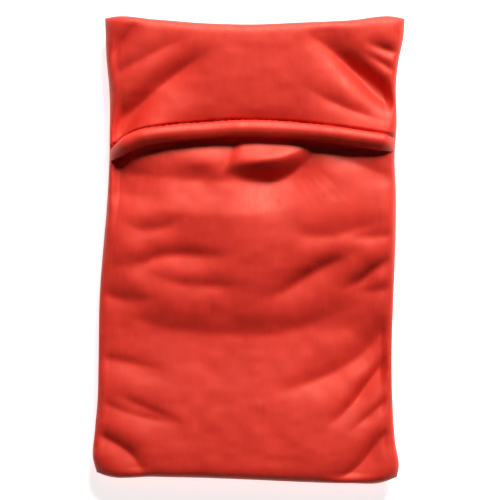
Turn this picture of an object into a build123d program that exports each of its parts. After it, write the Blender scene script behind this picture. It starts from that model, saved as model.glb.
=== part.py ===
"""An eye pillow: a seed-filled cotton insert inside a removable velvet cover with an envelope mouth.

The pillow lies on its back on the XY plane, with its long side along Y and its mouth facing up. The cover is
a back panel, a front panel and a flap, sewn together round the edge. The flap's hem lies over the front
panel's own hemmed edge, and the insert goes in and out between the two. Millimetres throughout.
"""

from build123d import *
import os

# The cover, as it lies when it is filled
half_width = 71.3
half_length = 107.0
seam_height = 8.5  # where the side seams stand above the table
cloth = 0.8
crown = 11.0  # the front panel's outside, above the seams
fullness = 0.7  # the power that shapes the swell: 0.5 would be an ellipse
corner_radius = 3.0
rim = 1.8  # the upright edge of the back panel under the seam

# Hems and mouth
hem_width = 7.8
hem_thickness = 2.0  # velvet turned under twice
flap_gap = 0.6  # from the front panel up to the flap
hinge_gap = 0.3  # from the back panel's rim up to the flap
front_inset = 1.4  # the front panel's side edges lie inside the flap's
underlap_line = 72.0  # the front panel runs on under the flap to here, where its hem begins

# Seams
allowance_inset = 0.9  # just inside the back panel's rim
allowance_width = 5.8
stitch_inset = 4.0
thread = 0.5
thread_height = 0.3
corner_split = 57.0  # the side seams take the corners, and the end seams run between them

# Insert
lining = 0.5
insert_inset = 10.5
insert_crown = 8.0
insert_floor = cloth + 0.3
insert_allowance_width = 4.0
closure_length = 60.0  # the gap where the seeds went in, sewn shut
fill_gap = 0.2

# The plan of the cover: its four sides, each from corner to corner
bottom_side = [(-70.8, -102.0), (0.0, -105.2), (50.0, -106.4), (69.2, -104.5)]
right_side = [(69.2, -104.5), (65.6, -48.0), (66.6, 40.0), (67.4, 76.0), (71.3, 106.2)]
top_side = [(71.3, 106.2), (28.0, 104.2), (2.0, 103.4), (-23.0, 104.2), (-65.8, 107.0)]
left_side = [(-65.8, 107.0), (-63.9, 60.0), (-66.0, 12.0), (-69.2, -60.0), (-70.8, -102.0)]

# The flap's stitching line, which arches over the swell of the insert
hem_line = [(-80.0, 40.0), (-62.0, 48.5), (-41.0, 56.2), (0.0, 59.2), (51.0, 54.4), (80.0, 50.5)]

# Where the swell's contours lie, as shares of the way from the edge to the middle
contour_shares = [0.0, 0.05, 0.15, 0.32, 0.55, 0.8]
middle_inset = 68.0
middle_softening = 10.0  # how much rounder the corners are at the middle

# The underside: flat in the middle, with one bend on the way up to the rim
floor_margin = 12.0  # from the seam in to where the back lies flat
floor_softening = 2.4
bend_margin = 5.0
bend_softening = 1.0
bend_share = 0.24  # of the way up

beyond = 90.0  # outside the pillow all round
tall = 60.0  # above the pillow


def plan(height, inset=0.0, softening=0.0):
    """The cover's plan at a height, drawn in all round by inset."""
    across = 1 - inset / half_width
    along = 1 - inset / half_length
    with BuildSketch(Plane.XY.offset(height)) as outline:
        with BuildLine():
            for side in (bottom_side, right_side, top_side, left_side):
                Spline(*[(x * across, y * along) for x, y in side])
        make_face()
        fillet(outline.vertices(), corner_radius + softening)
    return outline.sketch


def swell(rise, inset=0.0, base=seam_height):
    """Contours of a crowned top, from the seam upwards."""
    contours = []
    for share in contour_shares:
        height = base + rise * (1 - (1 - share) ** 2) ** fullness
        contours.append(plan(height, inset + share * (middle_inset - inset), middle_softening * share))
    return contours


def underside(inset=0.0, floor=0.0):
    """Contours of the underside, from the flat floor up to the rim."""
    top = seam_height - rim
    flat = plan(floor, inset + floor_margin, floor_softening)
    bend = plan(floor + bend_share * (top - floor), inset + bend_margin, bend_softening)
    return [flat, bend, plan(top, inset)]


def strip(outer_inset, inner_inset, height):
    """A strip of the plan that follows the edge."""
    with BuildSketch(Plane.XY.offset(height)) as ring:
        add(plan(0, outer_inset))
        add(plan(0, inner_inset), mode=Mode.SUBTRACT)
    return ring.sketch


def across_at(y):
    """A line straight across the pillow."""
    return [(-beyond, y), (0.0, y), (beyond, y)]


def hem_line_at(offset):
    """The flap's stitching line, moved along Y."""
    return [(x, y + offset) for x, y in hem_line]


def between(lower, upper):
    """The region of the plan between two lines across the pillow."""
    with BuildSketch() as region:
        with BuildLine():
            Spline(*lower)
            Line(lower[-1], upper[-1])
            Spline(*upper)
            Line(upper[0], lower[0])
        make_face()
    return region.sketch


def window(x, y, width, length):
    """A rectangle in the plan, by its centre and its size."""
    with BuildSketch() as region:
        with Locations((x, y)):
            Rectangle(width, length)
    return region.sketch


def finish(part, name):
    """Labels a piece and writes it."""
    part.label = name
    export_step(part, f"parts/{name}.step")


os.makedirs("parts", exist_ok=True)

# Back panel: a shallow dish that lies flat on the table
with BuildPart() as back_panel:
    loft(underside(), ruled=True)
    extrude(plan(seam_height - rim), amount=rim)
    loft(underside(cloth, cloth), ruled=True, mode=Mode.SUBTRACT)
    extrude(plan(seam_height - rim, cloth), amount=tall, mode=Mode.SUBTRACT)
finish(back_panel.part, "back_panel")

# Front panel: crowned over the insert, and running on under the flap to its own hem
underlap_end = underlap_line + hem_width
stitch_line = underlap_line + 2 * thread
below_underlap = between(across_at(-beyond - half_length), across_at(underlap_line))
underlap_band = between(across_at(underlap_line), across_at(underlap_end))
stitch_band = between(across_at(stitch_line), across_at(stitch_line + thread))

with BuildPart() as front_panel:
    loft(swell(crown, front_inset))
    loft(swell(crown - cloth, front_inset + cloth), mode=Mode.SUBTRACT)
    extrude(below_underlap, amount=tall, mode=Mode.INTERSECT)
finish(front_panel.part, "front_panel")

with BuildPart() as underlap_hem:
    loft(swell(crown, front_inset))
    loft(swell(crown - hem_thickness, front_inset + hem_thickness), mode=Mode.SUBTRACT)
    extrude(underlap_band, amount=tall, mode=Mode.INTERSECT)
finish(underlap_hem.part, "underlap_hem")

with BuildPart() as underlap_hem_stitching:
    loft(swell(crown + thread_height, front_inset - thread_height))
    loft(swell(crown, front_inset), mode=Mode.SUBTRACT)
    extrude(stitch_band, amount=tall, mode=Mode.INTERSECT)
finish(underlap_hem_stitching.part, "underlap_hem_stitching")

# The seams inside the cover's edge: two plies of seam allowance with a row of thread on top
allowance_ring = strip(allowance_inset, allowance_inset + allowance_width, seam_height - 2 * cloth)
thread_ring = strip(stitch_inset, stitch_inset + thread, seam_height)
side_depth = 2 * (half_width - corner_split)
end_width = 2 * corner_split - 2 * thread
seam_windows = {
    "left": window(-half_width, 0, side_depth, 3 * half_length),
    "right": window(half_width, 0, side_depth, 3 * half_length),
    "top": window(0, half_length, end_width, half_length),
    "bottom": window(0, -half_length, end_width, half_length),
}
for side, seam_window in seam_windows.items():
    with BuildPart() as seam_allowance:
        extrude(allowance_ring, amount=2 * cloth)
        extrude(seam_window, amount=tall, mode=Mode.INTERSECT)
    finish(seam_allowance.part, f"{side}_seam_allowance")

    with BuildPart() as seam_stitching:
        extrude(thread_ring, amount=thread_height)
        extrude(seam_window, amount=tall, mode=Mode.INTERSECT)
    finish(seam_stitching.part, f"{side}_seam_stitching")

# Flap: a crowned sheet that lies over the mouth, with a turned hem along its free edge
flap_base = seam_height + hinge_gap
flap_inside = crown + flap_gap - hinge_gap
above_hem = between(hem_line, across_at(beyond + half_length))
hem_band = between(hem_line_at(-hem_width), hem_line)
groove_band = between(hem_line_at(thread), hem_line_at(2 * thread))

with BuildPart() as flap_panel:
    loft(swell(flap_inside + cloth, 0.0, flap_base))
    loft(swell(flap_inside, cloth, flap_base), mode=Mode.SUBTRACT)
    extrude(above_hem, amount=tall, mode=Mode.INTERSECT)
finish(flap_panel.part, "flap_panel")

with BuildPart() as flap_hem:
    loft(swell(flap_inside + hem_thickness, cloth - hem_thickness, flap_base))
    loft(swell(flap_inside, cloth, flap_base), mode=Mode.SUBTRACT)
    extrude(hem_band, amount=tall, mode=Mode.INTERSECT)
finish(flap_hem.part, "flap_hem")

with BuildPart() as flap_hem_stitching:
    loft(swell(flap_inside + cloth + thread_height, -thread_height, flap_base))
    loft(swell(flap_inside + cloth, 0.0, flap_base), mode=Mode.SUBTRACT)
    extrude(groove_band, amount=tall, mode=Mode.INTERSECT)
finish(flap_hem_stitching.part, "flap_hem_stitching")

# Insert: a cotton bag, seamed round its edge, with the filling gap sewn shut at the top end
with BuildPart() as insert_back:
    loft(underside(insert_inset, insert_floor), ruled=True)
    extrude(plan(seam_height - rim, insert_inset), amount=rim)
    loft(underside(insert_inset + lining, insert_floor + lining), ruled=True, mode=Mode.SUBTRACT)
    extrude(plan(seam_height - rim, insert_inset + lining), amount=tall, mode=Mode.SUBTRACT)
finish(insert_back.part, "insert_back")

with BuildPart() as insert_front:
    loft(swell(insert_crown, insert_inset))
    loft(swell(insert_crown - lining, insert_inset + lining), mode=Mode.SUBTRACT)
finish(insert_front.part, "insert_front")

insert_seam_inset = insert_inset + lining + fill_gap
insert_seam_end = insert_seam_inset + insert_allowance_width
insert_stitch_inset = insert_seam_inset + thread
with BuildPart() as insert_seam_allowance:
    extrude(strip(insert_seam_inset, insert_seam_end, seam_height - 2 * lining), amount=2 * lining)
finish(insert_seam_allowance.part, "insert_seam_allowance")

with BuildPart() as insert_seam_stitching:
    extrude(strip(insert_stitch_inset, insert_stitch_inset + thread, seam_height), amount=thread_height)
finish(insert_seam_stitching.part, "insert_seam_stitching")

closure_window = window(0, half_length, closure_length, half_length)
with BuildPart() as insert_closure_stitching:
    extrude(strip(insert_inset - thread_height, insert_inset, seam_height - thread), amount=thread)
    extrude(closure_window, amount=tall, mode=Mode.INTERSECT)
finish(insert_closure_stitching.part, "insert_closure_stitching")

# Seeds: they fill the bag, and are hollowed round its seam allowance
with BuildPart() as seed_fill:
    loft(underside(insert_seam_end + fill_gap, insert_floor + lining + fill_gap), ruled=True)
    extrude(plan(seam_height - rim, insert_seam_end + fill_gap), amount=rim)
    loft(swell(insert_crown - lining - fill_gap, insert_seam_end + fill_gap))
finish(seed_fill.part, "seed_fill")
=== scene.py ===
"""The looks of an eye pillow: a velvet cover with an envelope mouth, over a cotton bag of seeds.

Shapes are worked out in millimetres in the model's frame, and turned into metres when a mesh is made. Each
cloth surface is a height over the table: a smooth swell, the folds that lie on it, and the puckers along its
seams.
"""

import math

import bpy
import numpy as np
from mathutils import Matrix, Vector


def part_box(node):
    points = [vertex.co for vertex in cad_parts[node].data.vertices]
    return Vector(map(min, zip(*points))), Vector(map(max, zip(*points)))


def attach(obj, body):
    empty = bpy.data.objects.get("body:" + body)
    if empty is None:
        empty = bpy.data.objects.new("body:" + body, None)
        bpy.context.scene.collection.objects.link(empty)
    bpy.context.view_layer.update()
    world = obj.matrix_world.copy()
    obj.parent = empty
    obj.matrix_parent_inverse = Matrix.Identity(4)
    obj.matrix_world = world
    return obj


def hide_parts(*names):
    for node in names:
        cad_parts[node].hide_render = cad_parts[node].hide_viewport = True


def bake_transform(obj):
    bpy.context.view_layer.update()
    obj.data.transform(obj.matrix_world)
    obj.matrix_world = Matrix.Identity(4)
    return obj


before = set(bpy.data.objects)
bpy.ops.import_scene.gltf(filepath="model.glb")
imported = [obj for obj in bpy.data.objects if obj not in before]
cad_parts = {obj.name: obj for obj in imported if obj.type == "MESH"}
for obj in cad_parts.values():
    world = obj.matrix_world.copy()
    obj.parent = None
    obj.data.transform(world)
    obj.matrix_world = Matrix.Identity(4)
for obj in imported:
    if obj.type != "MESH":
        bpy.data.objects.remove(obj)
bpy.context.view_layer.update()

MM = 0.001
SEED = 11
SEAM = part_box("left_seam_allowance")[1].z / MM  # height of the side seams
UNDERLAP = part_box("underlap_hem")[0].y / MM  # where the front panel's hidden hem begins
UNDERLAP_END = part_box("underlap_hem")[1].y / MM
CLOTH = 0.6  # velvet
LINING = 0.4  # cotton
HEM_WIDTH = 7.9
LAYER = 1.5  # from the front panel's face up to the flap's
FACE = 0.9  # from the seams up to the front panel's face at its edge
INSERT_INSET = 10.0
INSERT_EDGE = INSERT_INSET + 0.6
INSERT_SEAM = SEAM - 1.0  # height of the insert's edge seam
SLIDE = 3.0  # how far the insert slides each way

# Grids and lines
END_CLOSENESS = 0.8  # how much closer together points lie at a line's ends: 0 is evenly
OUTLINE_POINTS = 400
END_POINTS = 300  # along the bottom and the top
FRONT_GRID = (170, 222)  # points across and along
BACK_GRID = (118, 178)
FLAP_GRID = (235, 96)
INSERT_GRID = (90, 140)
UNDERLAP_GRID = (150, 12)
HEM_POINTS = 260
HEM_SECTION_POINTS = 44
THREAD_POINTS = 400
SEAM_POINTS = 240
INSERT_LOOP_POINTS = 900
CLOSURE_POINTS = 300

# Seeds of the noise in each surface
FLAP_SEED = 31
FRONT_SEED = 51
BACK_SEED = 80
FRAYED_SEED = 120
GROOVE_SEED = 140
HEM_SEED = 150
INSERT_SEED = 170
PEBBLE_SEED = 180

# The outline of the cover, from corner to corner
LEFT = [
    (-69.9, -101.6), (-71.3, -96.5), (-70.6, -82.0), (-69.4, -68.0), (-69.0, -50.0), (-68.4, -20.0),
    (-66.8, 1.0), (-65.2, 19.0), (-64.2, 36.0), (-63.8, 50.0), (-63.9, 74.0), (-65.2, 88.0), (-65.9, 106.2),
]
RIGHT = [
    (67.7, -103.9), (68.5, -100.0), (66.9, -88.0), (65.7, -70.0), (65.3, -50.0), (66.0, -24.0), (67.1, 8.0),
    (67.1, 30.0), (66.6, 42.0), (67.5, 58.0), (67.3, 78.0), (68.6, 88.0), (70.5, 97.0), (71.2, 106.0),
]
BOTTOM = [
    (-69.9, -101.6), (-66.5, -102.9), (-43.0, -103.7), (-20.0, -104.2), (2.0, -105.1), (24.0, -106.1),
    (46.0, -106.7), (60.0, -106.4), (67.7, -103.9),
]
TOP = [
    (-65.9, 106.2), (-62.0, 106.9), (-43.0, 105.6), (-21.0, 103.9), (1.0, 103.3), (24.0, 104.2),
    (46.0, 105.2), (66.0, 106.9), (71.2, 106.0),
]

# The groove where the flap's hem is stitched
HEM_LINE = [
    (-63.6, 47.2), (-57.0, 52.0), (-51.0, 54.6), (-41.0, 56.4), (-20.5, 58.4), (-5.0, 59.4), (10.0, 59.2),
    (31.0, 57.4), (51.0, 54.6), (60.0, 53.2), (68.0, 51.7),
]

# How the filled form rounds off at the left, right, bottom and top: over what run, and how bluntly
EDGE_SHAPES = [(20, 2.1), (10, 2.8), (9, 3), (7, 3.5)]

# How far the filled front stands above its seams, along the pillow
FRONT_RISE = [
    (-107.0, 5.6), (-94.0, 5.8), (-84.0, 5.6), (-60.0, 4.9), (-44.0, 4.1), (-36.0, 4.0), (-28.0, 4.7),
    (-14.0, 6.1), (0.0, 7.6), (10.0, 8.5), (17.0, 8.9), (24.0, 8.6), (33.0, 8.0), (40.0, 8.1), (48.0, 8.4),
    (58.0, 8.6), (70.0, 8.8), (84.0, 9.0), (95.0, 8.6), (107.0, 8.2),
]

# Folds: the line each one follows, its height (a valley's is below zero), and how wide it is to the left and
# to the right of its line. Most lines run from left to right, so that their left is the side towards the top.
SHARED_FOLDS = [
    # the hem presses the middle down
    ([(-48, 55.5), (-20, 58), (0, 58.5), (20, 58), (46, 55)], -2.6, 17, 11),
]
FRONT_FOLDS = [
    # the long valley below the middle
    ([(-68, -26), (-50, -32.5), (-38, -36.5), (-20, -38.5), (0, -39.5), (12, -39), (24, -36), (36, -31),
      (46, -26.5), (66, -19)], -2.9, 9, 26),
    # the shadow gap along the hem's edge
    ([(-70, 37), (-56, 42.6), (-40, 46.2), (-20, 48.2), (0, 49), (20, 48.4), (45, 45.6), (72, 42)],
     -2.6, 4, 4.8),
    # the hollow and the deep crease under the hem, the two bulges above the crease and the notch between them
    ([(-86, 37), (-56, 35), (-38, 33.2), (-24, 31.8), (6, 31)], -4.0, 11, 24),
    ([(-17, 36), (-6, 33.2), (3, 31.8), (12, 31.9), (18, 34.1), (24, 38.4), (29, 43.2), (38, 51)],
     -7.6, 5.2, 15),
    ([(22, 47.5), (38, 43.5), (48, 40), (57, 36), (76, 29)], -2.4, 6, 12),
    ([(-13, 38.5), (4, 40.6), (16, 42.8), (30, 48.5)], 1.9, 4.0, 3.4),
    ([(-36, 39), (-20, 40), (-10, 39.4)], 0.8, 5, 4.5),
    ([(-4, 56), (-6.4, 48), (-9, 42.5), (-15, 35)], -2.0, 2.0, 7),
    # the left edge below the hem's end
    ([(-48, 54), (-56.6, 43), (-62, 36), (-66, 31)], -1.6, 2.2, 3.4),
    ([(-68, 29), (-52, 25), (-34, 25)], -1.8, 12, 9),
    # the broad swell across the upper middle
    ([(-64, 22), (-27, 16.8), (-4, 16.6), (16.6, 19), (33, 27), (54, 43)], 0.8, 12, 6),
    # left middle
    ([(-62, 15), (-48, 9.3), (-40, 10.3), (-24, 18)], -1.6, 4.5, 5),
    ([(-72, -5.5), (-58, -7), (-50, -6.2), (-40, -2.8), (-30, -2), (-18, -3), (0, -1)], -2.3, 4, 6),
    ([(-54, -7.5), (-38, -13.5), (-30, -15.5), (-16, -16.5), (6, -16)], -1.6, 3.6, 6),
    ([(-76, -17), (-54, -22.8), (-36, -21)], -1.3, 4, 4.5),
    # right middle
    ([(10, 9.5), (32, 6.5), (42, 7.4), (52, 11), (72, 15)], -1.7, 5.5, 5),
    ([(42, 4.5), (60, 6.5), (76, 8)], -1.3, 3, 4),
    ([(2, -25), (18, -17.5), (28, -11.2), (36, -7), (44, -3.5), (56, 2.5)], -3.2, 4.5, 8),
    ([(38, -19), (51, -14), (57, -9), (72, 1)], -2.6, 3, 4.5),
    ([(44, -20), (60, -18), (76, -14)], -1.3, 2.8, 5),
    # lower right
    ([(8, -66), (26, -61), (33, -58.5), (42, -54.5), (51, -48.5), (58, -41.5), (74, -23)], -3.1, 6, 7),
    ([(32, -84), (48, -69.5), (54, -61.5), (60, -54), (74, -34)], -3.8, 3.2, 5.5),
    ([(42, -86), (57, -74), (73, -59)], -1.9, 2.6, 4),
    ([(28, -106), (45, -102.5), (53, -95.5), (58, -89), (74, -73)], -2.9, 3.6, 6),
    # lower left
    ([(-82, -62), (-58, -73.5), (-48, -76.5), (-24, -80)], -1.2, 2.8, 6),
    ([(-68, -63), (-46, -72.5), (-26, -81)], -1.1, 2.6, 5),
    ([(-82, -47), (-58, -51), (-34, -56)], -1.3, 3.2, 6),
    ([(-84, -80), (-62, -88), (-55, -92.5), (-50.5, -98), (-47, -112)], -2.3, 3.6, 6),
]
FLAP_FOLDS = [
    # right: the deep crease from the corner, and those beside it
    ([(22, 101), (32, 95.2), (40, 88.8), (50, 79.6), (60, 70.2), (78, 53)], -5.6, 6.4, 5),
    ([(38, 91.5), (50, 81), (60, 72), (76, 57)], -4.8, 4.8, 3.6),
    ([(20, 77), (40, 66.5), (50, 62.5), (72, 56)], -1.6, 4, 4),
    ([(50, 96), (64, 90.5), (80, 88)], -2.4, 3, 3),
    ([(48, 92), (60, 85.5), (78, 73)], -2.0, 2.6, 2.6),
    # left: the long crease up from the hem's end, and those above it
    ([(-78, 34), (-61, 53.5), (-50, 66), (-40, 75.2), (-30, 82.5), (-12, 94)], -5.2, 5.8, 9),
    ([(-82, 38), (-64, 53), (-54, 63), (-40, 74)], -2.4, 4.5, 6),
    ([(-76, 68), (-58, 82), (-50, 86), (-40, 91.5), (-20, 99)], -1.6, 4, 5),
    ([(-74, 73), (-62, 89), (-57, 96), (-47, 109)], -2.7, 3.6, 4.4),
]
FOLD_POINTS = 25
FOLD_REACH = 2.6  # in widths, beyond which a fold adds nothing
FOLD_RUN_OUT = 30.0  # a fold fades out over this at each end, or over a share of its length if it is short
FOLD_RUN_OUT_SHARE = 0.45
FOLD_SHARPNESS = 1.45  # 2 would be a bell curve
FOLD_TURN = 0.2  # beside its line, where the one width passes into the other

# Unevenness of a surface: the height and size of its broad waves, small waves and fine wrinkles
FLAP_WAVES = [(0.35, 17), (0.15, 6), (0.06, 3.2)]
FRONT_WAVES = [(0.5, 19), (0.2, 7), (0.07, 3.2)]
WRINKLE_LENGTH = 1.8  # a fine wrinkle is this many times as long across the pillow as it is wide

# Seams inside the cover: where the turned-in plies begin and end, and the thread, in from the edge
ALLOWANCE_START = 1.6
ALLOWANCE_END = {"left": 6.2, "right": 6.2, "bottom": 6.0, "top": 6.0}
STITCH_INSET = 3.9
CORNER = 8  # the side seams take the corners, and the end seams stop short of them

# Rows of stitches: how long each is, the gap after it, the thread's radius, and how deep its ends sink
FLAP_ROW = (2.5, 0.7, 0.2, 0.3)
UNDERLAP_ROW = (2.2, 0.7, 0.2, 0.3)
SEAM_ROW = (2.0, 0.6, 0.16, 0.2)
INSERT_ROW = (1.8, 0.5, 0.14, 0.15)
CLOSURE_ROW = (3.2, 1.4, 0.2, 0.2)  # sewn by hand

# How far in from the edge folds and waves have their full height
FLAP_FOLD_EDGE = 6
FRONT_FOLD_EDGE = 5.5
WAVE_EDGE = 12

rng = np.random.default_rng(SEED)


# ---------------------------------------------------------------- lines and regions


def smooth_line(points, count):
    """A smooth line through a few points, as evenly spaced points."""
    p = np.asarray(points, float)
    knots = np.concatenate([[0], np.cumsum(np.linalg.norm(np.diff(p, axis=0), axis=1))])
    tangents = np.gradient(p, knots, axis=0)
    fine = np.linspace(0, knots[-1], 40 * len(p))
    k = np.clip(np.searchsorted(knots, fine, side="right") - 1, 0, len(p) - 2)
    span = (knots[k + 1] - knots[k])[:, None]
    t = ((fine - knots[k])[:, None]) / span
    line = (
        (2 * t**3 - 3 * t**2 + 1) * p[k]
        + (t**3 - 2 * t**2 + t) * span * tangents[k]
        + (3 * t**2 - 2 * t**3) * p[k + 1]
        + (t**3 - t**2) * span * tangents[k + 1]
    )
    return evenly(line, count)


def evenly(line, shares):
    """The same line as evenly spaced points, or as points at shares of its length."""
    run = np.concatenate([[0], np.cumsum(np.linalg.norm(np.diff(line, axis=0), axis=1))])
    at = run[-1] * (np.linspace(0, 1, shares) if isinstance(shares, int) else shares)
    return np.stack([np.interp(at, run, line[:, c]) for c in range(line.shape[1])], axis=1)


def cut(line, low, high):
    """The stretch of a line along the pillow between two values of Y."""
    y = np.concatenate([[low], line[(line[:, 1] > low) & (line[:, 1] < high), 1], [high]])
    return np.stack([np.interp(y, line[:, 1], line[:, 0]), y], axis=1)


def closer_at_ends(count):
    """Shares from 0 to 1, closer together at both ends, where a filled form curves most."""
    even = np.linspace(0, 1, count)
    return even - END_CLOSENESS * np.sin(2 * math.pi * even) / (2 * math.pi)


def patch(bottom, right, top, left, across, along):
    """A grid of points that fills the region between four lines: rows run across, from the bottom up."""
    u, v = closer_at_ends(across), closer_at_ends(along)
    b, t = evenly(bottom, u), evenly(top, u)
    l, r = evenly(left, v), evenly(right, v)
    u, v = u[None, :, None], v[:, None, None]
    corners = (1 - v) * ((1 - u) * b[0] + u * b[-1]) + v * ((1 - u) * t[0] + u * t[-1])
    return (1 - v) * b[None] + v * t[None] + (1 - u) * l[:, None] + u * r[:, None] - corners


left_line, right_line = smooth_line(LEFT, OUTLINE_POINTS), smooth_line(RIGHT, OUTLINE_POINTS)
bottom_line, top_line = smooth_line(BOTTOM, END_POINTS), smooth_line(TOP, END_POINTS)
hem_line = smooth_line(HEM_LINE, OUTLINE_POINTS)


def edge_distances(x, y):
    """How far a point is inside the left, right, bottom and top edges."""
    from_left = x - np.interp(y, left_line[:, 1], left_line[:, 0])
    from_right = np.interp(y, right_line[:, 1], right_line[:, 0]) - x
    from_bottom = y - np.interp(x, bottom_line[:, 0], bottom_line[:, 1])
    from_top = np.interp(x, top_line[:, 0], top_line[:, 1]) - y
    return from_left, from_right, from_bottom, from_top


def above_hem(x, y):
    """How far a point lies beyond the hem's groove, towards the top."""
    return y - np.interp(x, hem_line[:, 0], hem_line[:, 1])


def smoothstep(t):
    """From 0 to 1, level at both ends."""
    t = np.clip(t, 0, 1)
    return t * t * (3 - 2 * t)


# ---------------------------------------------------------------- heights


def wander(x, y, size, seed):
    """Smooth seeded noise between about -1 and 1, with bumps of a size in millimetres."""
    cells = 64
    table = np.random.default_rng(seed).uniform(-1, 1, (cells, cells))
    gx, gy = x / size + 17.3, y / size + 23.1  # off the origin, where every size of noise would line up
    ix, iy = np.floor(gx).astype(int), np.floor(gy).astype(int)
    fx, fy = smoothstep(gx - ix), smoothstep(gy - iy)
    a, b = table[iy % cells, ix % cells], table[iy % cells, (ix + 1) % cells]
    c, d = table[(iy + 1) % cells, ix % cells], table[(iy + 1) % cells, (ix + 1) % cells]
    return (a * (1 - fx) + b * fx) * (1 - fy) + (c * (1 - fx) + d * fx) * fy


def rounding(distance, run, bluntness):
    """The share of full height at a distance in from an edge: a blunter edge rises sooner."""
    t = np.clip(distance / run, 0, 1)
    return (1 - (1 - t) ** bluntness) ** (1 / bluntness)


def fold(x, y, points, height, left_width, right_width):
    """The height that one fold adds."""
    line = smooth_line(points, FOLD_POINTS)
    step = np.diff(line, axis=0)
    flat = np.stack([x.ravel(), y.ravel()], axis=1)
    reach = FOLD_REACH * max(left_width, right_width)
    near = np.all((flat > line.min(axis=0) - reach) & (flat < line.max(axis=0) + reach), axis=1)
    added = np.zeros(len(flat))
    if near.any():
        away = flat[near][:, None, :] - line[None, :-1]
        share = np.clip((away * step).sum(axis=2) / (step**2).sum(axis=1), 0, 1)
        away = away - share[..., None] * step
        distance = np.linalg.norm(away, axis=2)
        k = distance.argmin(axis=1)
        rows = np.arange(len(k))
        d = distance[rows, k]
        side = step[k, 0] * away[rows, k, 1] - step[k, 1] * away[rows, k, 0]
        side /= np.linalg.norm(step[k], axis=1)
        width = right_width + (left_width - right_width) * smoothstep(0.5 + 0.5 * side / (d + FOLD_TURN))
        along = (k + share[rows, k]) / len(step)
        length = np.linalg.norm(step, axis=1).sum()
        run_out = min(FOLD_RUN_OUT_SHARE * length, FOLD_RUN_OUT)
        taper = smoothstep(np.minimum(along, 1 - along) * length / run_out)
        added[near] = height * taper * np.exp(-((d / width) ** FOLD_SHARPNESS))
    return added.reshape(x.shape)


def folds(x, y, which):
    """The height that a list of folds adds."""
    return sum(fold(x, y, *one) for one in which)


def waves(x, y, heights_and_sizes, seed):
    """The unevenness of a surface, which fades out at its edges."""
    broad, small, fine = heights_and_sizes
    uneven = broad[0] * wander(x, y, broad[1], seed) + small[0] * wander(x, y, small[1], seed + 1)
    uneven = uneven + fine[0] * wander(x / WRINKLE_LENGTH, y, fine[1], seed + 2)
    return uneven * inside(x, y, WAVE_EDGE)


def puckers(x, y, reach, height, seed):
    """Small gathers that run in from the seams: those off the sides lie across, those off the ends along."""
    from_left, from_right, from_bottom, from_top = edge_distances(x, y)
    along_sides = wander(x / 4, y, 5.5, seed) + 0.6 * wander(x / 3, y, 2.9, seed + 1)
    along_ends = wander(x, y / 4, 6.0, seed + 2) + 0.6 * wander(x, y / 3, 3.1, seed + 3)
    sides = np.exp(-np.minimum(from_left, from_right).clip(0) / reach)
    ends = np.exp(-np.minimum(from_bottom, from_top).clip(0) / reach)
    return height * (along_sides * sides + 0.7 * along_ends * ends)


def swell(x, y):
    """The smooth filled form, above the seams."""
    shares = [rounding(d, *shape) for d, shape in zip(edge_distances(x, y), EDGE_SHAPES)]
    across, along = shares[0] * shares[1], shares[2] * shares[3]
    rise = np.interp(y, *np.transpose(smooth_line(FRONT_RISE, 200)))
    return rise * across * along + folds(x, y, SHARED_FOLDS) * inside(x, y, FLAP_FOLD_EDGE)


def inside(x, y, run):
    """From 0 at the outline to 1 at a distance in."""
    return smoothstep(np.minimum.reduce(edge_distances(x, y)) / run)


def flap_face(x, y):
    """Height of the flap's outer face."""
    form = SEAM + FACE + LAYER + swell(x, y)
    creased = folds(x, y, FLAP_FOLDS) * inside(x, y, FLAP_FOLD_EDGE)
    middle = 1 - smoothstep((np.abs(x + 4) - 20) / 22)
    dip = 1.3 * np.exp(-((above_hem(x, y).clip(0) / 3.2) ** 1.5)) * middle  # down to the hem's groove
    gathers = puckers(x, y, 3.5, 0.22, FLAP_SEED + 9)
    free = form + creased - dip + waves(x, y, FLAP_WAVES, FLAP_SEED) + gathers
    least = SEAM + 3.1  # a crease stops where the front panel and the insert's edge lie under it
    softness = 0.7
    stopped = least + softness * np.logaddexp(0, (free - least) / softness)
    return free + (stopped - free) * inside(x, y, 4)


def front_face(x, y):
    """Height of the front panel's outer face, which the flap presses flat where it covers it."""
    form = SEAM + FACE + swell(x, y)
    creased = folds(x, y, FRONT_FOLDS) * inside(x, y, FRONT_FOLD_EDGE)
    gathers = puckers(x, y, 4.5, 0.3, FRONT_SEED + 9)
    free = form + creased + waves(x, y, FRONT_WAVES, FRONT_SEED) + gathers
    pressed = flap_face(x, y) - LAYER - 0.1 * inside(x, y, 5)
    reach = HEM_WIDTH + 1.0
    covered = smoothstep((above_hem(x, y) + reach) / reach)
    under_hem = form - 0.25
    below_hem = smoothstep(-(above_hem(x, y) + HEM_WIDTH - 1.5) / 7)
    low = np.minimum(free, under_hem + 6 * below_hem)  # clear of the hem, and free to bulge below it
    return low * (1 - covered) + pressed * covered


def back_face(x, y):
    """Height of the back's outer face, which lies flat on the table away from the seams."""
    nearest = np.minimum.reduce(edge_distances(x, y))
    margin = 13  # from the seam in to where the back lies flat
    lift = (SEAM - CLOTH) * (1 - np.clip(nearest / margin, 0, 1)) ** 2.1
    gathers = puckers(x, y, 4.0, 0.35, BACK_SEED) * smoothstep(1 - nearest / (margin + 3))
    dimples = 0.25 * np.abs(wander(x, y, 14, BACK_SEED + 10)) * smoothstep(1 - nearest / (2 * margin))
    return np.maximum(lift + gathers * smoothstep(nearest / 3), 0) + dimples * smoothstep(nearest / 4)


# ---------------------------------------------------------------- meshes


UP = (0, 0, 1.0)


def normals_of(grid):
    """Unit normals of a grid of points, on the side from which rows run up and columns run right."""
    across = np.gradient(grid, axis=1)
    up = np.gradient(grid, axis=0)
    n = np.cross(across, up)
    return n / np.maximum(np.linalg.norm(n, axis=2), 1e-9)[..., None]


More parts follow.
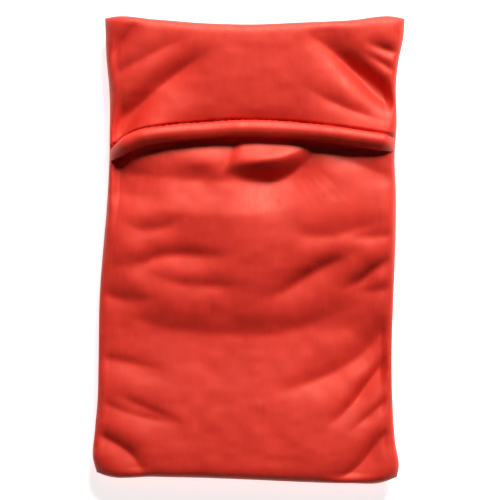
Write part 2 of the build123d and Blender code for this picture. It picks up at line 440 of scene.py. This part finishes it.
def add_mesh(name, points, faces, normals=None):
    """A smooth-shaded object from points in millimetres."""
    mesh = bpy.data.meshes.new(name)
    mesh.from_pydata((np.asarray(points) * MM).tolist(), [], [list(map(int, f)) for f in faces])
    mesh.shade_smooth()
    if normals is not None:
        mesh.normals_split_custom_set_from_vertices(np.asarray(normals).tolist())
    made = bpy.data.objects.new(name, mesh)
    bpy.context.scene.collection.objects.link(made)
    return made


def quads(rows, columns, start=0, wrap=False):
    """Faces of a grid of points numbered row by row, joined round each row if it wraps."""
    number = start + np.arange(rows * columns).reshape(rows, columns)
    if wrap:
        number = np.concatenate([number, number[:, :1]], axis=1)
    a, b, c, d = number[:-1, :-1], number[:-1, 1:], number[1:, 1:], number[1:, :-1]
    return np.stack([a, b, c, d], axis=-1).reshape(-1, 4)


def cloth(name, grid, thickness, facing=1):
    """A closed sheet of cloth. The grid is its outer face, and facing is 1 if that face looks up."""
    rows, columns = grid.shape[:2]
    n = normals_of(grid) * facing
    thick = np.broadcast_to(thickness, (rows, columns))[..., None]
    outer, inner = grid.reshape(-1, 3), (grid - n * thick).reshape(-1, 3)
    front = quads(rows, columns)
    back = front[:, ::-1] + rows * columns
    number = np.arange(rows * columns).reshape(rows, columns)
    rim = np.concatenate([number[0, :-1], number[:-1, -1], number[-1, :0:-1], number[:0:-1, 0]])
    after = np.roll(rim, -1)
    sides = np.stack([after, rim, rim + rows * columns, after + rows * columns], axis=1)
    faces = np.concatenate([front, back, sides])
    if facing < 0:
        faces = faces[:, ::-1]
    flat = n.reshape(-1, 3)
    return add_mesh(name, np.concatenate([outer, inner]), faces, np.concatenate([flat, -flat]))


def rolled(grid, below, sides, thickness):
    """Turns a grid's edges round and inwards at the seam.

    Below is how far down the turned edge reaches, and sides say whether the bottom, top, left and right edge
    is turned: 1 or 0. The cloth is thinner once it is inside.
    """
    ring = [(-0.18, 0.25), (-0.1, 0.6), (0.45, 0.8), (1.4, 0.85)]  # inwards, and down as a share of below
    inside_thickness = 0.15
    bottom, top, left, right = (len(ring) * s for s in sides)
    reach = np.pad(np.broadcast_to(below, grid.shape[:2]), ((bottom, top), (left, right)), mode="edge")
    padded = np.pad(grid, ((bottom, top), (left, right), (0, 0)), mode="edge")
    rows, columns = padded.shape[:2]
    i, j = np.arange(rows)[:, None], np.arange(columns)[None]
    past_ends = np.maximum(bottom - i, i - (rows - 1 - top))
    past_sides = np.maximum(left - j, j - (columns - 1 - right))
    over = np.clip(np.maximum(past_ends, past_sides), 0, len(ring))
    ci, cj = np.clip(i - bottom, 0, grid.shape[0] - 1), np.clip(j - left, 0, grid.shape[1] - 1)
    inner_i = np.clip(ci, bottom, grid.shape[0] - 1 - top)
    inner_j = np.clip(cj, left, grid.shape[1] - 1 - right)
    inward = grid[inner_i, inner_j] - grid[ci, cj]
    inward[..., 2] = 0
    inward /= np.maximum(np.linalg.norm(inward, axis=2), 1e-9)[..., None]
    inwards, down = np.array([0] + [r[0] for r in ring]), np.array([0] + [r[1] for r in ring])
    padded = padded + inward * inwards[over][..., None]
    padded[..., 2] -= reach * down[over]
    return padded, np.where(over > 1, inside_thickness, thickness)


def tube(name, rings):
    """A tube through rings of points, with flat ends: an array of (rings, points round, 3)."""
    count, around = rings.shape[:2]
    start = count * around
    points = np.concatenate([rings.reshape(-1, 3), rings[0], rings[-1]])
    faces = quads(count, around, wrap=True).tolist()
    faces.append(list(range(start, start + around))[::-1])
    faces.append(list(range(start + around, start + 2 * around)))
    return add_mesh(name, points, faces)


def stitches(name, line, up, length, gap, radius, sink):
    """A row of thread stitches along a line of points, bowed out of the cloth and sunk in it at the ends."""
    run = np.concatenate([[0], np.cumsum(np.linalg.norm(np.diff(line, axis=0), axis=1))])
    up = np.broadcast_to(up, line.shape)
    sides, steps = 6, 5
    points, faces = [], []
    for start in np.arange(gap / 2, run[-1] - length, length + gap):
        at = start + np.linspace(0, 1, steps) * length * rng.uniform(0.92, 1.04)
        middle = np.stack([np.interp(at, run, line[:, c]) for c in range(3)], axis=1)
        rise = np.stack([np.interp(at, run, up[:, c]) for c in range(3)], axis=1)
        bow = np.sin(np.linspace(0, math.pi, steps))
        middle = middle + rise * (bow * (radius + 0.12) - sink * (1 - bow))[:, None]
        along = np.gradient(middle, axis=0)
        along /= np.linalg.norm(along, axis=1)[:, None]
        side = np.cross(along, rise)
        side /= np.maximum(np.linalg.norm(side, axis=1), 1e-9)[:, None]
        over = np.cross(side, along)
        turn = np.linspace(0, 2 * math.pi, sides, endpoint=False)
        fat = radius * (0.55 + 0.45 * bow)[:, None, None]
        ring = middle[:, None] + fat * (
            np.cos(turn)[None, :, None] * side[:, None] + np.sin(turn)[None, :, None] * over[:, None]
        )
        base = sum(len(p) for p in points)
        faces += quads(steps, sides, base, wrap=True).tolist()
        faces.append([base + k for k in range(sides)][::-1])
        faces.append([base + (steps - 1) * sides + k for k in range(sides)])
        points.append(ring.reshape(-1, 3))
    return add_mesh(name, np.concatenate(points), faces)


# ---------------------------------------------------------------- materials


def new_material(name):
    """A new material, its node tree and its shader."""
    made = bpy.data.materials.new(name)
    made.use_nodes = True
    tree = made.node_tree
    shader = next(n for n in tree.nodes if n.type == "BSDF_PRINCIPLED")
    return made, tree, shader


def stretched(tree, scale):
    """Object coordinates, stretched."""
    place = tree.nodes.new("ShaderNodeTexCoord")
    mapping = tree.nodes.new("ShaderNodeMapping")
    mapping.inputs["Scale"].default_value = scale
    tree.links.new(place.outputs["Object"], mapping.inputs["Vector"])
    return mapping.outputs["Vector"]


def noise(tree, vector, detail, roughness=0.5):
    """A cloudy noise."""
    made = tree.nodes.new("ShaderNodeTexNoise")
    made.inputs["Scale"].default_value = 1.0
    made.inputs["Detail"].default_value = detail
    made.inputs["Roughness"].default_value = roughness
    tree.links.new(vector, made.inputs["Vector"])
    return made.outputs["Fac"]


def ramp(tree, factor, low, high, start=0.3, end=0.7):
    """A colour that runs from low to high."""
    made = tree.nodes.new("ShaderNodeValToRGB")
    made.color_ramp.elements[0].position = start
    made.color_ramp.elements[0].color = (*low, 1)
    made.color_ramp.elements[1].position = end
    made.color_ramp.elements[1].color = (*high, 1)
    tree.links.new(factor, made.inputs["Fac"])
    return made.outputs["Color"]


def mixed(tree, kind, factor, first, second):
    """Two colours, blended."""
    made = tree.nodes.new("ShaderNodeMix")
    made.data_type = "RGBA"
    made.blend_type = kind
    made.inputs["Factor"].default_value = factor
    tree.links.new(first, made.inputs["A"])
    tree.links.new(second, made.inputs["B"])
    return made.outputs["Result"]


def spread(tree, factor, low, high):
    """A value that runs from low to high over the middle of a noise."""
    made = tree.nodes.new("ShaderNodeMapRange")
    made.inputs["From Min"].default_value = 0.3
    made.inputs["From Max"].default_value = 0.7
    made.inputs["To Min"].default_value = low
    made.inputs["To Max"].default_value = high
    tree.links.new(factor, made.inputs["Value"])
    return made.outputs["Result"]


def bump(tree, shader, heights):
    """Stacks bumps: each is (height, distance in metres, strength)."""
    normal = None
    for height, distance, strength in heights:
        made = tree.nodes.new("ShaderNodeBump")
        made.inputs["Distance"].default_value = distance
        made.inputs["Strength"].default_value = strength
        tree.links.new(height, made.inputs["Height"])
        if normal:
            tree.links.new(normal, made.inputs["Normal"])
        normal = made.outputs["Normal"]
    tree.links.new(normal, shader.inputs["Normal"])


def velvet_material():
    """Red velvet with a short satiny pile, brushed along the pillow."""
    made, tree, shader = new_material("red_velvet")
    brushed = noise(tree, stretched(tree, (1500, 170, 400)), 3.0)
    patches = noise(tree, stretched(tree, (70, 30, 50)), 3.0, 0.6)
    pile = noise(tree, stretched(tree, (5200, 2600, 4000)), 2.0, 0.7)
    streaks = ramp(tree, brushed, (0.93, 0.93, 0.93), (1.0, 1.0, 1.0))
    body = ramp(tree, patches, (0.73, 0.019, 0.010), (0.83, 0.027, 0.015))
    colour = mixed(tree, "MULTIPLY", 1.0, body, streaks)
    tree.links.new(colour, shader.inputs["Base Color"])
    tree.links.new(spread(tree, brushed, 0.52, 0.64), shader.inputs["Roughness"])
    shader.inputs["Specular IOR Level"].default_value = 0.75
    shader.inputs["Specular Tint"].default_value = (1.0, 0.85, 0.62, 1)
    shader.inputs["Sheen Weight"].default_value = 0.05
    shader.inputs["Sheen Roughness"].default_value = 0.4
    shader.inputs["Sheen Tint"].default_value = (1.0, 0.20, 0.12, 1)
    bump(tree, shader, [(pile, 0.00022, 0.35), (brushed, 0.0002, 0.12), (patches, 0.0008, 0.25)])
    return made


def thread_material(name, dark, light):
    """Twisted sewing thread."""
    made, tree, shader = new_material(name)
    twist = noise(tree, stretched(tree, (3200, 9000, 3200)), 1.0)
    tree.links.new(ramp(tree, twist, dark, light), shader.inputs["Base Color"])
    tree.links.new(spread(tree, twist, 0.4, 0.6), shader.inputs["Roughness"])
    shader.inputs["Sheen Weight"].default_value = 0.2
    bump(tree, shader, [(twist, 0.0001, 0.6)])
    return made


def cotton_material():
    """Natural cotton in a plain weave, with slubs."""
    made, tree, shader = new_material("natural_cotton")
    threads = []
    for direction in ("X", "Y"):
        wave = tree.nodes.new("ShaderNodeTexWave")
        wave.bands_direction = direction
        wave.inputs["Scale"].default_value = 420
        wave.inputs["Distortion"].default_value = 1.2
        wave.inputs["Detail"].default_value = 1.0
        tree.links.new(stretched(tree, (1, 1, 1)), wave.inputs["Vector"])
        threads.append(wave.outputs["Fac"])
    weave = tree.nodes.new("ShaderNodeMath")
    weave.operation = "MULTIPLY"
    tree.links.new(threads[0], weave.inputs[0])
    tree.links.new(threads[1], weave.inputs[1])
    slubs = noise(tree, stretched(tree, (220, 1400, 400)), 2.0)
    woven = ramp(tree, weave.outputs["Value"], (0.60, 0.53, 0.41), (0.82, 0.77, 0.66), 0.05, 0.7)
    flecks = ramp(tree, slubs, (0.80, 0.78, 0.74), (1.0, 1.0, 1.0), 0.3, 0.5)
    tree.links.new(mixed(tree, "MULTIPLY", 1.0, woven, flecks), shader.inputs["Base Color"])
    tree.links.new(spread(tree, slubs, 0.78, 0.92), shader.inputs["Roughness"])
    shader.inputs["Sheen Weight"].default_value = 0.15
    bump(tree, shader, [(weave.outputs["Value"], 0.00015, 0.6), (slubs, 0.0003, 0.4)])
    return made


def seed_material():
    """Flax seeds, packed together, with painted shade in the gaps between them."""
    made, tree, shader = new_material("flax_seed")
    cells = tree.nodes.new("ShaderNodeTexVoronoi")
    cells.inputs["Scale"].default_value = 1.0
    tree.links.new(stretched(tree, (420, 260, 420)), cells.inputs["Vector"])
    tint = noise(tree, stretched(tree, (900, 900, 900)), 1.0)
    # the seeds' own brown in each cell's middle, darkening to near black at its edge: painted shade in the
    # gaps between the seeds
    seed_brown_and_painted_gap_shade = ramp(tree, cells.outputs["Distance"], (0.36, 0.17, 0.06), (0.05, 0.02, 0.01), 0.25, 0.75)
    flecks = ramp(tree, tint, (0.7, 0.7, 0.7), (1.0, 1.0, 1.0))
    tree.links.new(mixed(tree, "MULTIPLY", 1.0, seed_brown_and_painted_gap_shade, flecks), shader.inputs["Base Color"])
    tree.links.new(spread(tree, tint, 0.25, 0.4), shader.inputs["Roughness"])
    inverted = spread(tree, cells.outputs["Distance"], 1.0, 0.0)
    bump(tree, shader, [(inverted, 0.0008, 0.9)])
    return made


def floor_material():
    """A plain, pale, faintly glowing studio sweep."""
    made, tree, shader = new_material("pale_floor")
    shader.inputs["Base Color"].default_value = (0.90, 0.90, 0.90, 1)
    shader.inputs["Roughness"].default_value = 0.9
    shader.inputs["Specular IOR Level"].default_value = 0.1
    shader.inputs["Emission Color"].default_value = (1, 1, 1, 1)
    shader.inputs["Emission Strength"].default_value = 0.8
    return made


velvet = velvet_material()
cover_thread = thread_material("red_thread", (0.42, 0.012, 0.008), (0.66, 0.03, 0.018))
cotton = cotton_material()
insert_thread = thread_material("natural_thread", (0.62, 0.56, 0.45), (0.88, 0.84, 0.74))
seed = seed_material()


def finish_piece(piece, material, nodes=(), body=None):
    """Gives a piece its material and slot, hides the nodes it stands for and puts it on a body."""
    piece.data.materials.append(material)
    if nodes:
        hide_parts(*nodes)
    if body:
        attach(piece, body)
    return piece


# ---------------------------------------------------------------- cover


def at_height(path, height):
    """A line of points in the plan, raised to one height."""
    return np.concatenate([path, np.full((len(path), 1), height)], axis=1)


def with_height(region, height):
    """A region's grid of points, raised to a height given by a function."""
    return np.concatenate([region, height(region[..., 0], region[..., 1])[..., None]], axis=2)


def make_front():
    """The front panel, from the bottom seam up to its hidden hem."""
    inset = 0.1  # the front's edge lies inside the back's
    left = cut(left_line, left_line[0, 1], UNDERLAP) + (inset, 0)
    right = cut(right_line, right_line[0, 1], UNDERLAP) - (inset, 0)
    mouth = np.stack([left[-1], right[-1]])
    region = patch(bottom_line, right, mouth, left, *FRONT_GRID)
    grid, thickness = rolled(with_height(region, front_face), 1.0, (1, 0, 1, 1), CLOTH)
    piece = cloth("front_panel_cloth", grid, thickness)
    finish_piece(piece, velvet, ["front_panel"], "cover")


def make_underlap_hem():
    """The front panel's own turned hem, under the flap."""
    inset = 0.25
    left = cut(left_line, UNDERLAP, UNDERLAP_END) + (inset, 0)
    right = cut(right_line, UNDERLAP, UNDERLAP_END) - (inset, 0)
    low, high = np.stack([left[0], right[0]]), np.stack([left[-1], right[-1]])
    region = patch(low, right, high, left, *UNDERLAP_GRID)
    top = with_height(region, front_face)
    around = normals_of(top)
    v = np.linspace(0, 1, UNDERLAP_GRID[1])[:, None, None]
    plump = np.sin(math.pi * v) ** 0.5
    outer = top + around * (0.25 * plump)
    inner = (top - around * (2 * CLOTH + 0.4 * plump))[::-1]
    rings = np.concatenate([outer, inner]).transpose(1, 0, 2)
    piece = tube("underlap_hem_cloth", rings)
    finish_piece(piece, velvet, ["underlap_hem"], "cover")
    line = evenly(top[2], THREAD_POINTS)
    row = stitches("underlap_hem_thread", line, UP, *UNDERLAP_ROW)
    finish_piece(row, cover_thread, ["underlap_hem_stitching"], "cover")


def make_back():
    """The back panel, which the pillow lies on."""
    region = patch(bottom_line, right_line, top_line, left_line, *BACK_GRID)
    grid, thickness = rolled(with_height(region, back_face), -CLOTH, (1, 1, 1, 1), CLOTH)
    piece = cloth("back_panel_cloth", grid, thickness, facing=-1)
    finish_piece(piece, velvet, ["back_panel"], "cover")


def seam_path(side, inset):
    """The line along one seam, drawn in from the edge, as points at the seam's height."""
    if side in ("left", "right"):
        line = left_line if side == "left" else right_line
        shift = inset if side == "left" else -inset
        path = cut(line, line[0, 1] + inset, line[-1, 1] - inset) + (shift, 0)
    else:
        line = bottom_line if side == "bottom" else top_line
        shift = inset if side == "bottom" else -inset
        keep = (line[:, 0] > line[0, 0] + CORNER) & (line[:, 0] < line[-1, 0] - CORNER)
        path = line[keep] + (0, shift)
    return at_height(evenly(path, SEAM_POINTS), SEAM)


def make_seams():
    """The seam allowances, turned inside the cover, and the thread that holds each seam."""
    for side in ("left", "right", "bottom", "top"):
        outer, inner = seam_path(side, ALLOWANCE_START), seam_path(side, ALLOWANCE_END[side])
        v = np.linspace(0, 1, 7)[:, None, None]
        strip = outer[None] * (1 - v) + inner[None] * v
        frayed = 0.12 * wander(strip[..., 0], strip[..., 1], 2.2, FRAYED_SEED) * v[..., 0]
        stands = 5.2 if side == "top" else 0.0  # the top seam's plies turn up against the flap
        strip[..., 2] += -0.15 + frayed + stands * smoothstep(v[..., 0])
        if side == "right":
            strip = strip[:, ::-1]  # so that its rows run the same way round as the others
        n = normals_of(strip)
        facing = 1 if n[..., 2].mean() > 0 else -1
        piece = cloth(f"{side}_seam_allowance_cloth", strip, 2 * CLOTH, facing)
        finish_piece(piece, velvet, [f"{side}_seam_allowance"], "cover")
        line = seam_path(side, STITCH_INSET)
        line[:, 2] += stands * 0.53 - 0.1  # on the plies, about half way in
        row = stitches(f"{side}_seam_thread", line, UP, *SEAM_ROW)
        finish_piece(row, cover_thread, [f"{side}_seam_stitching"], "cover")


# ---------------------------------------------------------------- flap


def sewn_to_free(piece):
    """Bakes a flap piece's place into its mesh."""
    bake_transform(piece)


def make_flap_panel():
    """The flap, in two halves that meet in the middle. Returns the line of the hem's groove."""
    left = cut(left_line, HEM_LINE[0][1], left_line[-1, 1])
    right = cut(right_line, HEM_LINE[-1][1], right_line[-1, 1])
    region = patch(hem_line, right, top_line, left, *FLAP_GRID)
    top = with_height(region, flap_face)
    x, y = region[..., 0], region[..., 1]
    depth = 0.9 + 0.35 * wander(x, y * 0, 3.3, GROOVE_SEED)
    top[..., 2] -= depth * np.exp(-((np.clip(above_hem(x, y), 0, None) / 0.8) ** 2))
    below = 1.0 + 1.5 * smoothstep((y - UNDERLAP_END) / 6)  # down to the back, where no front lies between
    whole, thickness = rolled(top, below, (0, 1, 1, 1), CLOTH)
    middle = whole.shape[1] // 2
    for half, columns in (("left", slice(0, middle + 1)), ("right", slice(middle, None))):
        piece = cloth(f"flap_panel_cloth_{half}", whole[:, columns], thickness[:, columns])
        finish_piece(piece, velvet, ["flap_panel"])
        sewn_to_free(piece)
    return whole[0]


def hem_section(count):
    """The section of the turned hem: how far below the groove, and how high above the front panel."""
    outline = [
        (0.0, 0.35), (0.25, 1.6), (0.9, 2.75), (2.1, 3.4), (3.5, 3.6), (5.0, 3.15), (6.4, 2.25), (7.5, 1.25),
        (7.8, 0.6), (6.9, 0.25), (4.5, 0.2), (1.6, 0.2), (0.3, 0.22), (0.0, 0.35),
    ]
    return smooth_line(outline, count + 1)[:-1]


def make_flap_hem(groove_line):
    """The plump turned hem, in two halves, and the thread in the groove above it."""
    line = evenly(hem_line, HEM_POINTS)
    tangent = np.gradient(line, axis=0)
    tangent /= np.linalg.norm(tangent, axis=1)[:, None]
    down = np.stack([tangent[:, 1], -tangent[:, 0]], axis=1)
    section = hem_section(HEM_SECTION_POINTS)
    u = np.linspace(-1, 1, HEM_POINTS)
    turning, closing, flattening = 0.14, 0.03, 0.1  # shares of half the hem, at each end
    turned = smoothstep((np.abs(u) - (1 - turning)) / turning)[:, None]  # the hem turns along the side seams
    down = down * (1 - turned) + np.array([0.0, -1.0]) * turned
    down /= np.linalg.norm(down, axis=1)[:, None]
    ends = np.clip(1 - (np.clip(np.abs(u) - (1 - closing), 0, 1) / closing) ** 2.2, 0.0004, 1) ** 0.5
    x, zero = line[:, 0], line[:, 1] * 0
    plump = 1 + 0.09 * wander(x, zero, 13, HEM_SEED) + 0.05 * wander(x, zero, 4, HEM_SEED + 1)
    run_out = smoothstep((1 - np.abs(u)) / flattening)  # the hem flattens as it runs into the side seams
    plump = plump * (0.1 + 0.9 * ends) * (0.3 + 0.7 * run_out)
    wide = 1 + 0.03 * wander(x, zero, 9, HEM_SEED + 2) - 0.2 * turned[:, 0]
    across = HEM_WIDTH / 2 + (section[None, :, 0] - HEM_WIDTH / 2) * (wide * (0.25 + 0.75 * ends))[:, None]
    xy = line[:, None] + across[..., None] * down[:, None]
    low_x, high_x = (np.interp(xy[..., 1], edge[:, 1], edge[:, 0]) for edge in (left_line, right_line))
    inset = 0.3
    xy[..., 0] = np.clip(xy[..., 0], low_x + inset, high_x - inset)
    ground = SEAM + FACE + swell(xy[..., 0], xy[..., 1])
    rings = np.concatenate([xy, (ground + section[None, :, 1] * plump[:, None])[..., None]], axis=2)
    half_way = HEM_POINTS // 2
    for half, kept in (("left", slice(0, half_way + 1)), ("right", slice(half_way, None))):
        piece = tube(f"flap_hem_cloth_{half}", rings[kept][:, ::-1])
        finish_piece(piece, velvet, ["flap_hem"])
        sewn_to_free(piece)
    thread = evenly(groove_line[6:-6], THREAD_POINTS)
    thread[:, 2] += 0.25
    half_way = THREAD_POINTS // 2
    for half, kept in (("left", slice(0, half_way)), ("right", slice(half_way, None))):
        row = stitches(f"flap_hem_thread_{half}", thread[kept], UP, *FLAP_ROW)
        finish_piece(row, cover_thread, ["flap_hem_stitching"])
        sewn_to_free(row)


# ---------------------------------------------------------------- insert


def insert_region(inset, across, along):
    """A grid of points inside the cover's outline, drawn in all round."""
    left = cut(left_line, left_line[0, 1] + inset, left_line[-1, 1] - inset) + (inset, 0)
    right = cut(right_line, right_line[0, 1] + inset, right_line[-1, 1] - inset) - (inset, 0)
    ends = []
    count = 200
    for line, shift, at in ((bottom_line, inset, 0), (top_line, -inset, -1)):
        x = np.linspace(left[at, 0], right[at, 0], count)
        y = np.interp(x, line[:, 0], line[:, 1]) + shift
        blend = np.clip(np.abs(np.linspace(-1, 1, count)), 0, 1) ** 8
        straight = np.linspace(left[at, 1], right[at, 1], count)
        ends.append(np.stack([x, y * (1 - blend) + straight * blend], axis=1))
    return patch(ends[0], right, ends[1], left, across, along)


def insert_surfaces(inset, under, over):
    """The upper and lower faces of the insert, clear of the cover wherever it slides to."""
    across, along = INSERT_GRID
    region = insert_region(inset, across, along)
    x, y = region[..., 0], region[..., 1]
    moved = [np.clip(y + s, -104, 100) for s in np.linspace(-SLIDE, SLIDE, 5)]
    lid = np.minimum.reduce([front_face(x, to) for to in moved])
    lid -= CLOTH + over + 1.2 * smoothstep((y - UNDERLAP + 8) / 5)
    u = np.linspace(0, 1, across)[None]
    v = np.linspace(0, 1, along)[:, None]
    width, length = 120, 195  # of the insert, about
    edge = np.minimum(np.minimum(u, 1 - u) * width, np.minimum(v, 1 - v) * length)
    full = rounding(edge, 24, 0.5)
    top = INSERT_SEAM + (lid - INSERT_SEAM) * full
    top += 0.12 * wander(x, y, 3.5, INSERT_SEED) * full
    bed = np.maximum(np.maximum.reduce([back_face(x, to) for to in moved]) + CLOTH + 0.4, under)
    bottom = INSERT_SEAM + (bed - INSERT_SEAM) * rounding(edge, 13, 0.5)
    return np.dstack([x, y, top]), np.dstack([x, y, bottom])


def closed_bag(name, top, bottom):
    """A closed mesh from two grids that meet round their edge."""
    rows, columns = top.shape[:2]
    number = np.arange(rows * columns).reshape(rows, columns)
    lower = number + rows * columns
    for edge in ((0, slice(None)), (-1, slice(None)), (slice(None), 0), (slice(None), -1)):
        lower[edge] = number[edge]
    points = np.concatenate([top.reshape(-1, 3), bottom.reshape(-1, 3)])
    up = quads(rows, columns)
    a, b, c, d = lower[:-1, :-1], lower[:-1, 1:], lower[1:, 1:], lower[1:, :-1]
    down = np.stack([d, c, b, a], axis=-1).reshape(-1, 4)
    used = np.unique(np.concatenate([up.ravel(), down.ravel()]))
    fresh = np.zeros(len(points), int)
    fresh[used] = np.arange(len(used))
    return add_mesh(name, points[used], fresh[np.concatenate([up, down])])


def make_insert():
    """The cotton bag of seeds, with its edge seam and its hand-sewn end."""
    under, over = 1.0, 0.8
    top, bottom = insert_surfaces(INSERT_EDGE, under, over)
    casing = closed_bag("insert_casing", top, bottom)
    finish_piece(casing, cotton, ["insert_back", "insert_front"], "insert")
    top, bottom = insert_surfaces(INSERT_INSET + 1.8, under + LINING + 0.2, over + LINING + 0.2)
    pebbles = 0.18 * wander(top[..., 0], top[..., 1], 1.3, PEBBLE_SEED)
    top[1:-1, 1:-1, 2] -= np.abs(pebbles[1:-1, 1:-1])
    seeds = closed_bag("seed_mass", top, bottom)
    finish_piece(seeds, seed, ["seed_fill"], "insert")

    rim = insert_region(INSERT_EDGE, *INSERT_GRID)
    loop = np.concatenate([rim[0, :-1], rim[:-1, -1], rim[-1, :0:-1], rim[:0:-1, 0], rim[:1, 0]])
    path = at_height(evenly(loop, INSERT_LOOP_POINTS), INSERT_SEAM)
    inward = -path / np.linalg.norm(path[:, :2], axis=1)[:, None]
    inward[:, 2] = 0
    turns = ((0.15, -0.15), (0.3, 0.1), (3.6, 0.0))  # inwards, and up
    band = np.stack([path + inward * step + (0, 0, lift) for step, lift in turns])
    facing = 1 if normals_of(band)[..., 2].mean() > 0 else -1
    allowance = cloth("insert_seam_allowance_cloth", band, 0.3, facing)
    finish_piece(allowance, cotton, ["insert_seam_allowance"], "insert")
    row = stitches("insert_seam_thread", path + inward * 1.2, UP, *INSERT_ROW)
    finish_piece(row, insert_thread, ["insert_seam_stitching"], "insert")
    gap = slice(22, -22)  # where the seeds went in, sewn shut by hand
    end = at_height(evenly(rim[-1, gap], CLOSURE_POINTS), INSERT_SEAM)
    out = (0, 0.8, 0.6)
    row = stitches("insert_closure_thread", end, out, *CLOSURE_ROW)
    finish_piece(row, insert_thread, ["insert_closure_stitching"], "insert")


# ---------------------------------------------------------------- studio


def make_floor():
    """The floor under the pillow, which isn't part of it."""
    bpy.ops.mesh.primitive_plane_add(size=6)
    floor = bpy.context.object
    floor.name = "floor"
    floor.data.materials.append(floor_material())


def add_light(name, place, size, power):
    """A square soft light that looks at the pillow."""
    lamp = bpy.data.lights.new(name, "AREA")
    lamp.shape = "SQUARE"
    lamp.size = size
    lamp.energy = power
    made = bpy.data.objects.new(name, lamp)
    made.location = place
    towards = -made.location.normalized()
    made.rotation_mode = "QUATERNION"
    made.rotation_quaternion = towards.to_track_quat("-Z", "Y")
    bpy.context.scene.collection.objects.link(made)


def make_studio():
    """A camera straight above, a soft key light beyond the top of the pillow, and a faint fill."""
    scene = bpy.context.scene
    camera = bpy.data.objects.new("camera", bpy.data.cameras.new("camera"))
    distance, field = 0.9, 0.2296  # the field is as wide as the picture, at the height of the seams
    camera.data.sensor_width = 36
    camera.data.lens = 36 * distance / field
    camera.location = (0.0002, 0.0002, distance + SEAM * MM)
    scene.collection.objects.link(camera)
    scene.camera = camera
    add_light("key", (0.34, 1.10, 0.82), 0.52, 33.5)
    add_light("fill", (0.0, 0.2, 1.5), 1.4, 0.25)
    world = bpy.data.worlds.new("studio")
    world.use_nodes = True
    background = world.node_tree.nodes["Background"]
    background.inputs["Color"].default_value = (1, 1, 1, 1)
    background.inputs["Strength"].default_value = 0.015
    scene.world = world
    scene.view_settings.view_transform = "Standard"


make_studio()
make_floor()
make_insert()
make_front()
make_underlap_hem()
make_back()
make_seams()
make_flap_hem(make_flap_panel())
